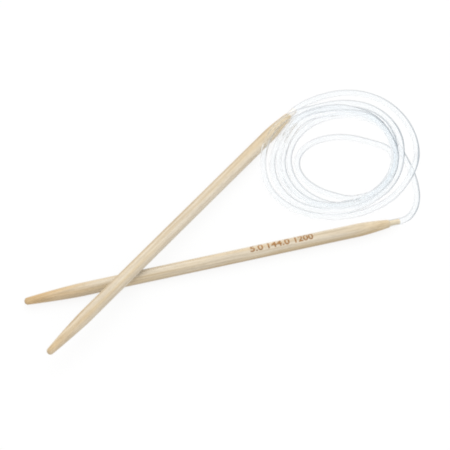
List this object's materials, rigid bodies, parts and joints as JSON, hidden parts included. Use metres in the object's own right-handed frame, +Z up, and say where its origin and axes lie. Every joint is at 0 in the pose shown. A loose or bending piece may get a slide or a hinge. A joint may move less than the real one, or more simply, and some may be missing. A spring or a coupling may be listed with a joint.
{
  "type": "circular knitting needle",
  "caption": "Circular knitting needle: turned bamboo tips with tapered noses, laid crossed, joined by a thin clear hollow cord wound in a loose flat coil.",
  "frame": {"origin": "On the table, in the middle of the box that the two tips fill, seen from above.", "axes": "+Z is up from the table that the needle lies on. +X runs along the box's long side, from the noses to the coil. +Y runs from the lower tip's nose side to the coil's far side."},
  "size_m": [0.1495, 0.1205, 0.0118],
  "materials": {
    "bamboo": "satin, waxed",
    "clear_tube": "clear, glossy"
  },
  "bodies": {
    "root": {"tip_lower": "bamboo", "tip_upper": "bamboo", "cord_sleeve_lower": "clear_tube", "cord_sleeve_upper": "clear_tube", "cord_lead": "clear_tube", "cord_coil": "clear_tube"}
  },
  "joints": []
}
